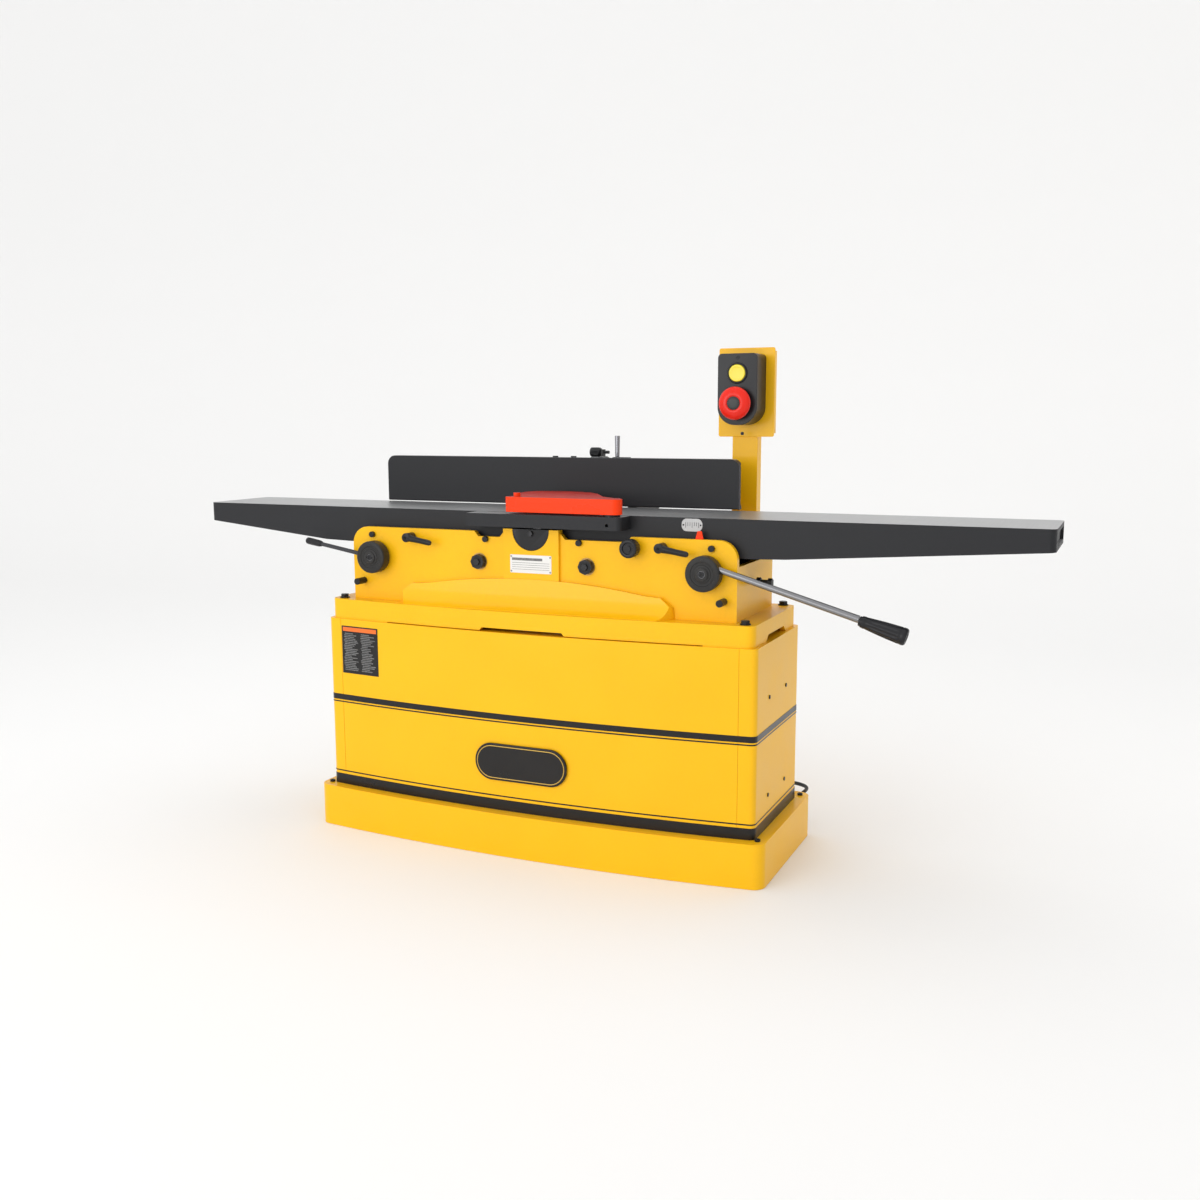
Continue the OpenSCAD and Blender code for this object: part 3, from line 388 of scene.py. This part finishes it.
def tube(points, radius, steps=16):
    """Closed round tube along the points, with the ring carried along without twisting."""
    verts, faces = [], []
    last = len(points) - 1
    across = None
    for i, p in enumerate(points):
        along = (points[min(i + 1, last)] - points[max(i - 1, 0)]).normalized()
        across = along.orthogonal() if across is None else across - along * across.dot(along)
        across = across.normalized()
        up = along.cross(across)
        for k in range(steps):
            angle = 2 * math.pi * k / steps
            verts.append(p + (across * math.cos(angle) + up * math.sin(angle)) * radius)
    for i in range(last):
        for k in range(steps):
            j = (k + 1) % steps
            faces.append([i * steps + k, i * steps + j, (i + 1) * steps + j, (i + 1) * steps + k])
    faces.append(list(range(steps))[::-1])
    faces.append([last * steps + k for k in range(steps)])
    return verts, faces


def make_cord():
    points = curve_points(ROUTE, 4) + coil_points() + curve_points(TAIL, 4)
    points = [p * MM for p in points]
    points = [p for i, p in enumerate(points) if i == 0 or (p - points[i - 1]).length > 0.0005]
    mesh = mesh_from("power_cord_tube", *tube(points, CORD_D / 2))
    cord = add_piece("power_cord_tube", mesh, "machine", "cord_rubber")
    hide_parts("power_cord", "cord_coil")


make_cord()


def block(low, high):
    """Box between two corners, for small plates and marks."""
    (x0, y0, z0), (x1, y1, z1) = low, high
    points = [Vector((x, y, z)) for x in (x0, x1) for y in (y0, y1) for z in (z0, z1)]
    faces = [(0, 1, 3, 2), (4, 6, 7, 5), (0, 4, 5, 1), (2, 3, 7, 6), (0, 2, 6, 4), (1, 5, 7, 3)]
    return points, faces


def joined(name, shapes, smooth=True):
    points, faces = [], []
    for p, f in shapes:
        faces += [tuple(i + len(points) for i in face) for face in f]
        points += p
    return mesh_from(name, points, faces, smooth)


def detail(name, shapes, node_name, slot=None, material=None, replaces=False, round_edge=0.0, angle=40):
    """Piece on the same body as a CAD node, with crisp edges between its smooth faces."""
    mesh = joined(name, shapes)
    obj = add_piece(name, mesh, BODY_OF[node_name], slot or SLOT_OF[node_name], material)
    if round_edge:
        bevel = obj.modifiers.new("round", "BEVEL")
        bevel.width = round_edge
        bevel.segments = 2
        bevel.limit_method = "ANGLE"
        bevel.angle_limit = math.radians(angle)
    mesh.set_sharp_from_angle(angle=math.radians(angle))
    if replaces:
        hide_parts(node_name)
    return obj


def centre_of(name):
    low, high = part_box(name)
    return (low + high) / 2


def socket_screw(at, axis, r, height):
    """Round head with a recess in its face."""
    edge = r * 0.12
    return turned([(0, r), (height - edge, r), (height, r - edge), (height, r * 0.5),
                   (height * 0.55, r * 0.46),
                   (height * 0.55, r * 0.05)], at, axis, 32)


# Levers and their hubs

LEVER_SLOPE = math.radians(16.2)
SMALL_SLOPE = math.radians(9.6)
GRIP_LENGTH = 101 * MM
FRONT = (0, -1, 0)
LOCK_SHAFT_BACK = -0.128


def fluted(count, depth, low, high):
    """Flutes cut between two distances along the axis, run out softly at both ends."""
    def trim(h, a):
        edge = min(h - low, high - h) / (0.12 * (high - low))
        return depth * min(max(edge, 0.0), 1.0) * (0.5 + 0.5 * math.cos(count * a)) ** 2
    return trim


def make_grip():
    along = Vector((math.cos(LEVER_SLOPE), 0, -math.sin(LEVER_SLOPE)))
    start = centre_of("infeed_lever_grip") - along * (GRIP_LENGTH / 2)
    mm = [(0, 9.5), (0.6, 10.2), (4, 10.6), (5, 12.2), (12, 12.9), (14, 12.3), (17, 12.9), (26, 13.8),
          (30, 14.2), (40, 15.2), (50, 16), (60, 16.7), (70, 17.3), (78, 17.7), (84, 18), (87, 18.1),
          (89, 17.5),
          (91, 18.3), (96, 18.3), (99, 17.3), (100.6, 15.5), (101, 14), (100.4, 9), (99.4, 8.6), (99.4, 1)]
    shape = turned([(h * MM, r * MM) for h, r in mm], start, along, 96, fluted(9, 0.11, 18 * MM, 87 * MM))
    detail("infeed_grip", [shape], "infeed_lever_grip", replaces=True)


def make_small_grip():
    along = Vector((-math.cos(SMALL_SLOPE), 0, math.sin(SMALL_SLOPE)))
    start = centre_of("outfeed_lever_grip") - along * (23.5 * MM)
    mm = [(0, 5.6), (0.8, 6.4), (3, 6.8), (6, 7.9), (12, 8.2), (20, 8.3), (30, 8.4), (38, 8.5), (43, 8),
          (46, 5.5), (47, 1)]
    shape = turned([(h * MM, r * MM) for h, r in mm], start, along, 64, fluted(8, 0.08, 8 * MM, 40 * MM))
    detail("outfeed_grip", [shape], "outfeed_lever_grip", replaces=True)


def make_hub(name):
    low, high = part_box(name)
    at = Vector(((low.x + high.x) / 2, high.y, (low.z + high.z) / 2))
    thick = (high.y - low.y) / MM
    mm = [(0, 12), (0, 36.5), (1, 38.4), (2.5, 39), (thick - 7, 39), (thick - 5, 38.6), (thick - 3.4, 37),
          (thick - 3, 35.5), (thick - 3, 27), (thick - 4.2, 25.8), (thick - 4.2, 20.5), (thick - 3, 19.4),
          (thick - 3, 15), (thick - 2.6, 14.5), (thick - 1, 14.5), (thick - 0.2, 13.6), (thick, 12),
          (thick, 8),
          (thick - 1.8, 7.6), (thick - 1.8, 0.5)]
    shapes = [turned([(h * MM, r * MM) for h, r in mm], at, FRONT, 96)]
    for k in range(3):
        a = math.radians(90 + 120 * k)
        spot = at + Vector((31 * MM * math.cos(a), -(thick - 3.2) * MM, 31 * MM * math.sin(a)))
        shapes.append(socket_screw(spot, FRONT, 2.6 * MM, 0.8 * MM))
    detail(name + "_turned", shapes, name, replaces=True)
    cap = at + Vector((0, -(thick - 1.9) * MM, 0))
    detail(name + "_screw", [socket_screw(cap, FRONT, 6.5 * MM, 1.6 * MM)], name, "black_hardware")
    washer = [(0, 10.5), (0.5, 10.5), (0.9, 10), (0.9, 7.2), (0, 7.2), (0, 10.5)]
    detail(name + "_washer", [turned([(h * MM, r * MM) for h, r in washer], cap, FRONT, 48)], name,
           "bright_steel")


make_grip()
make_small_grip()
make_hub("infeed_lever_hub")
make_hub("outfeed_lever_hub")

# Small handles and knobs on the bed


def make_lock_handle(name):
    low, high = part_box(name)
    hub = Vector((low.x + 11 * MM, low.y, high.z - 11 * MM))
    reach = high.x - hub.x - 5 * MM
    down = math.radians(10)
    shaft = turned([(0, 6 * MM), (14 * MM, 6 * MM), (15 * MM, 5.5 * MM)],
                   (hub.x, LOCK_SHAFT_BACK, hub.z), FRONT, 32)
    mm = [(0, 9), (0, 10.4), (1, 11), (12, 10.4), (20, 10.8), (29, 11), (31, 10), (32, 7), (32, 1)]
    body = turned([(h * MM, r * MM) for h, r in mm], (hub.x, hub.y + 32 * MM, hub.z), FRONT, 48)
    path, sizes = [], []
    for t, lift, wide, deep in [(0, 9, 9.5, 8), (0.15, 8, 8.4, 7), (0.35, 6.8, 7.2, 6), (0.6, 6.2, 6.6, 5.6),
                                (0.8, 6, 6.8, 5.6), (0.93, 6, 6.4, 5.4), (0.99, 6.2, 4.6, 4.2),
                                (1.01, 6.3, 1.5, 1.5)]:
        path.append((hub.x + reach * t * math.cos(down) + 5 * MM * t, hub.y + lift * MM,
                     hub.z - reach * t * math.sin(down)))
        sizes.append((deep * MM, wide * MM))
    arm = swept(path, sizes, (0, 1, 0))
    detail(name + "_lever", [shaft, body, arm], name, replaces=True)
    cap = (hub.x, hub.y + 0.4 * MM, hub.z)
    detail(name + "_screw", [socket_screw(cap, FRONT, 3.2 * MM, 0.4 * MM)], name, "bright_steel")


def make_depth_knob():
    low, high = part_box("depth_stop_knob")
    at = Vector(((low.x + high.x) / 2, high.y, (low.z + high.z) / 2))
    total = (high.y - low.y) / MM
    mm = [(0, 7.9), (total - 34, 7.9), (total - 34, 12), (total - 33, 13), (total - 26, 12.6),
          (total - 25.5, 19), (total - 24, 20.6), (total - 22, 21), (total - 14, 21), (total - 4, 21),
          (total - 1.5, 20.2),
          (total - 0.4, 18.5), (total, 16), (total - 0.6, 13), (total - 3, 12), (total - 3, 7.5),
          (total - 0.5, 7),
          (total - 0.5, 1)]
    ribs = fluted(20, 0.05, (total - 25) * MM, (total - 2) * MM)
    detail("depth_stop_grip", [turned([(h * MM, r * MM) for h, r in mm], at, FRONT, 160, ribs)],
           "depth_stop_knob", replaces=True)


def make_tilt_knob():
    low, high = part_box("tilt_stop_knob")
    at = Vector((low.x, (low.y + high.y) / 2, (low.z + high.z) / 2))
    mm = [(0, 8), (0.6, 10.5), (2, 11.6), (4, 12), (14, 12), (22, 12), (25, 11.4), (27.6, 10), (28, 8.5),
          (28, 4.2), (30, 4), (50, 4), (50, 1)]
    ribs = fluted(18, 0.1, 2 * MM, 26 * MM)
    detail("tilt_stop_grip", [turned([(h * MM, r * MM) for h, r in mm], at, (1, 0, 0), 144, ribs)],
           "tilt_stop_knob", replaces=True)


make_lock_handle("infeed_lock_handle")
make_lock_handle("outfeed_lock_handle")
make_depth_knob()
make_tilt_knob()

# Shaft ends: bright journals with black octagon caps


def two_tone(name, width, other, where):
    soften(name, width, None, 2, 32, other, where)


WALL_FRONT = -0.139
for side in ("infeed", "outfeed"):
    two_tone(side + "_inner_shaft", 0.8 * MM, FINISH["black_hardware"], lambda p: p.center.y < WALL_FRONT)

# Guard: glossy sides, and a duller top whose red is painted darker as shade

GUARD_TOP_PAINTED_SHADE = surface("guard_top_painted_shade", (0.40, 0.016, 0.008), 0.45, grain=300, bump=0.15, coat=0.05, vary=0.25,
                    shine=0.2)
soften("guard", 4 * MM, None, 4, 32, GUARD_TOP_PAINTED_SHADE, lambda p: p.normal.z > 0.9 and p.center.z > 0.82)

# Plates: white data plate, dark label with an orange head and two grey columns, rim on the nameplate

PLATE_WHITE = surface("plate_white", (0.78, 0.78, 0.76), 0.35, grain=900, bump=0.02, vary=0.02)
PLATE_GREY = surface("plate_grey", (0.2, 0.2, 0.2), 0.5, grain=220, bump=0.02, vary=0.9, stretch=(1, 1, 3))
PLATE_ORANGE = surface("plate_orange", (0.85, 0.16, 0.01), 0.4, grain=700, bump=0.02, vary=0.05)
PLATE_BRIGHT = surface("plate_bright", (0.4, 0.4, 0.4), 0.3, 0.35, grain=900, bump=0.04, vary=0.2)
PLATE_GOLD = surface("plate_gold", (0.55, 0.36, 0.08), 0.35, 0.6, grain=900, bump=0.03, vary=0.05)
BOW_R = 4.5
DATA_PLATE_FRONT = -0.1468


def front_y(x):
    """Front of the bowed cabinet at a distance x from its middle."""
    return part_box("front_panel")[0].y + x * x / (2 * BOW_R)


def on_front(x0, x1, z0, z1, out, steps=6):
    """Thin sheet that lies on the bowed front."""
    points, faces = [], []
    for i in range(steps + 1):
        x = x0 + (x1 - x0) * i / steps
        for y in (front_y(x) - out, front_y(x) - 0.1 * MM):
            for z in (z0, z1):
                points.append(Vector((x, y, z)))
    for i in range(steps):
        a, b = 4 * i, 4 * (i + 1)
        faces += [(a, b, b + 1, a + 1), (a + 2, a + 3, b + 3, b + 2), (a, a + 2, b + 2, b),
                  (a + 1, b + 1, b + 3, a + 3)]
    end = 4 * steps
    faces += [(0, 1, 3, 2), (end, end + 2, end + 3, end + 1)]
    return points, faces


def make_plates():
    soften("label_plates", 0.2 * MM, None, 1, 32, PLATE_WHITE, lambda p: p.center.z > 0.6)
    low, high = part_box("label_plates")
    left, right = low.x, low.x + 112 * MM
    base, proud = low.z, 0.9 * MM
    detail("label_head", [on_front(left + 4 * MM, right - 4 * MM, base + 105 * MM, base + 115 * MM, proud)],
           "label_plates", material=PLATE_ORANGE)
    rng = random.Random(7)
    rows = []
    for a, b in [(6, 52), (59, 106)]:
        for k in range(22):
            start = a + rng.uniform(0, 5)
            stop = b - rng.uniform(0, 16) ** 1.15
            z = base + (8 + 4.3 * k) * MM
            rows.append(on_front(left + start * MM, left + stop * MM, z, z + 2.2 * MM, proud, 2))
    detail("label_rows", rows, "label_plates", material=PLATE_GREY)
    z0, z1 = high.z - 42 * MM, high.z
    y = DATA_PLATE_FRONT
    lines = [block((-48 * MM, y - 0.25 * MM, z1 - 13 * MM), (30 * MM, y, z1 - 7 * MM))]
    lines += [block((-48 * MM, y - 0.2 * MM, z1 - h * MM - 0.8 * MM), (48 * MM, y, z1 - h * MM))
              for h in (18, 23, 28, 33)]
    detail("data_plate_lines", lines, "label_plates", material=PLATE_GREY)
    rivets = [turned([(0, 2.2 * MM), (0.5 * MM, 2 * MM), (0.8 * MM, 1 * MM)], (x, y, z), FRONT, 16)
              for x in (-50 * MM, 50 * MM) for z in (z0 + 4 * MM, z1 - 4 * MM)]
    detail("data_plate_rivets", rivets, "label_plates", "bright_steel")


def make_badge_rim():
    low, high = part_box("badge")
    inset, r = 6 * MM, 1.1 * MM
    cx, cz = (low.x + high.x) / 2, (low.z + high.z) / 2
    round_r = (high.z - low.z) / 2 - inset
    half = (high.x - low.x) / 2 - inset - round_r
    path = [(cx + sx * half + round_r * math.cos(math.radians(a)), low.y,
             cz + round_r * math.sin(math.radians(a)))
            for sx, start in ((1, -90), (-1, 90)) for a in range(start, start + 181, 10)]
    path.append(path[0])
    detail("badge_rim", [swept(path, [(r * 0.6, r)] * len(path), (0, 1, 0), 10)], "badge",
           material=PLATE_GOLD)


def make_scale_marks():
    soften("scale_plate", 0.2 * MM, PLATE_BRIGHT, 1)
    low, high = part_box("scale_plate")
    marks = [block((low.x + (9 + 5 * k) * MM, low.y - 0.25 * MM, high.z - (16 if k % 3 else 20) * MM),
                   (low.x + (9.9 + 5 * k) * MM, low.y, high.z - 8 * MM)) for k in range(7)]
    detail("scale_marks", marks, "scale_plate", "black_trim")
    rivets = [turned([(0, 2 * MM), (0.5 * MM, 1.8 * MM), (0.8 * MM, 1 * MM)],
                     (x, low.y, (low.z + high.z) / 2), FRONT, 16) for x in (low.x + 4 * MM, high.x - 4 * MM)]
    detail("scale_rivets", rivets, "scale_plate", "black_hardware")


make_plates()
make_badge_rim()
make_scale_marks()

# Switch: mushroom stop with a darker centre, bezelled start button, screws in the plate

STOP_CENTRE = surface("stop_centre", (0.012, 0.016, 0.015), 0.4, grain=700, bump=0.05, vary=0.1)


def make_buttons():
    low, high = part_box("stop_button")
    at = Vector(((low.x + high.x) / 2, high.y, (low.z + high.z) / 2))
    total = (high.y - low.y) / MM
    rim = total - 16
    mm = [(0, 11.9), (rim - 0.5, 11.9), (rim, 30), (rim + 0.6, 35), (rim + 2.5, 37.6), (rim + 5, 38),
          (rim + 8, 37),
          (rim + 11.5, 33.5), (rim + 14, 28), (rim + 15.3, 22), (rim + 15.6, 17.5), (rim + 15, 16.4),
          (rim + 13.4, 15.8), (rim + 13.2, 1)]
    detail("stop_cap", [turned([(h * MM, r * MM) for h, r in mm], at, FRONT, 96)], "stop_button",
           replaces=True)
    face = at + Vector((0, -(rim + 13) * MM, 0))
    disc = [(0, 15.4 * MM), (1.2 * MM, 15.2 * MM), (1.9 * MM, 13.8 * MM), (2.2 * MM, 8 * MM),
            (2.3 * MM, 1 * MM)]
    detail("stop_centre", [turned(disc, face, FRONT, 64)], "stop_button", material=STOP_CENTRE)
    low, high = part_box("start_button")
    at = Vector(((low.x + high.x) / 2, high.y, (low.z + high.z) / 2))
    total = (high.y - low.y) / MM
    mm = [(0, 19.6), (total - 1.6, 19.6), (total - 0.5, 19), (total, 17.6), (total - 0.5, 15),
          (total - 0.9, 8), (total - 1, 1)]
    detail("start_cap", [turned([(h * MM, r * MM) for h, r in mm], at, FRONT, 96)], "start_button",
           replaces=True)
    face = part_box("switch_box")[0].y
    ring = [(-1, 20.1), (2.5, 20.1), (3.4, 20.8), (3.6, 21.8), (3, 23.4), (1.6, 24.3), (-1, 24.6),
            (-1, 20.1)]
    at = Vector((at.x, face, at.z))
    detail("start_bezel", [turned([(h * MM, r * MM) for h, r in ring], at, FRONT, 96)], "switch_box")
    base = [(-1, 12.3), (3, 12.3), (4.4, 13.4), (4.4, 24), (3.4, 26.5), (-1, 27), (-1, 12.3)]
    at = Vector((at.x, face, centre_of("stop_button").z))
    detail("stop_base", [turned([(h * MM, r * MM) for h, r in base], at, FRONT, 96)], "switch_box")
    low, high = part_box("switch_post")
    spots = [(at.x, face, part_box("switch_box")[1].z - 9 * MM), (at.x, low.y, high.z - 200 * MM)]
    detail("switch_screws", [socket_screw(p, FRONT, 4 * MM, 2.2 * MM) for p in spots], "switch_post",
           "black_hardware")


make_buttons()

# Tie round the cord's coil


def make_tie():
    wide, half, r = 8 * MM, 13.6 * MM, 50 * MM
    cx, cy = COIL_AT[0] * MM - r, COIL_AT[1] * MM
    outline = []
    for sx, sz, start in ((1, 1, 0), (-1, 1, 90), (-1, -1, 180), (1, -1, 270)):
        for a in range(start, start + 91, 30):
            outline.append((sx * (half - 4 * MM) + 5 * MM * math.cos(math.radians(a)),
                            9.1 * MM + sz * 4.4 * MM + 5 * MM * math.sin(math.radians(a))))
    points, faces = [], []
    for y in (-wide / 2, wide / 2):
        for k in (1.0, 0.94):
            points += [Vector((cx + x * k, cy + y, max(0.15 * MM, 9.1 * MM + (z - 9.1 * MM) * k)))
                       for x, z in outline]
    n = len(outline)
    for k in range(n):
        j = (k + 1) % n
        faces += [(k, j, 2 * n + j, 2 * n + k), (n + j, n + k, 3 * n + k, 3 * n + j), (k, n + k, n + j, j),
                  (2 * n + j, 3 * n + j, 3 * n + k, 2 * n + k)]
    detail("coil_tie", [(points, faces)], "cord_coil", "black_plastic")


make_tie()

# Stage


def make_stage():
    mat, _, bsdf = new_material("studio_floor")
    bsdf.inputs["Base Color"].default_value = (0.9, 0.898, 0.893, 1)
    bsdf.inputs["Roughness"].default_value = 0.9
    bsdf.inputs["Specular IOR Level"].default_value = 0.1
    half, rise, bend, back = 14.0, 9.0, 3.0, 6.0
    profile = [(-half, 0.0), (back - bend, 0.0)]
    profile += [(back - bend + bend * math.sin(math.radians(a)), bend - bend * math.cos(math.radians(a)))
                for a in range(10, 91, 10)]
    profile.append((back, rise))
    verts = [(x, y, z - 0.0005) for y, z in profile for x in (-half, half)]
    faces = [(2 * i, 2 * i + 1, 2 * i + 3, 2 * i + 2) for i in range(len(profile) - 1)]
    mesh = mesh_from("studio_floor", verts, faces)
    mesh.materials.append(mat)
    floor = bpy.data.objects.new("studio_floor", mesh)
    bpy.context.collection.objects.link(floor)


def area_light(name, at, aim, size, power, colour=(1, 1, 1)):
    data = bpy.data.lights.new(name, "AREA")
    data.shape = "RECTANGLE"
    data.size, data.size_y = size
    data.energy = power
    data.color = colour
    lamp = bpy.data.objects.new(name, data)
    lamp.location = at
    lamp.rotation_euler = (Vector(aim) - Vector(at)).to_track_quat("-Z", "Y").to_euler()
    bpy.context.collection.objects.link(lamp)


BRIGHT_SIDE = (-0.5, -0.72, 0.48)


def make_light():
    world = bpy.data.worlds.new("studio")
    bpy.context.scene.world = world
    world.use_nodes = True
    tree = world.node_tree
    sky = tree.nodes["Background"]
    sky.inputs["Color"].default_value = (1, 1, 1, 1)
    towards = node(tree, "ShaderNodeVectorMath", {0: node(tree, "ShaderNodeTexCoord").outputs["Generated"],
                                                  1: BRIGHT_SIDE}, operation="DOT_PRODUCT").outputs["Value"]
    tree.links.new(spread(tree, towards, 0.3, 1.2, -1, 1), sky.inputs["Strength"])
    area_light("key", (-1.5, -4.6, 1.5), (0, 0, 0.5), (3.0, 1.8), 52)
    area_light("top", (0.2, 0.9, 3.2), (0, 0, 0.6), (3.5, 2.0), 18)
    bpy.context.scene.view_settings.view_transform = "Standard"


make_stage()
make_light()
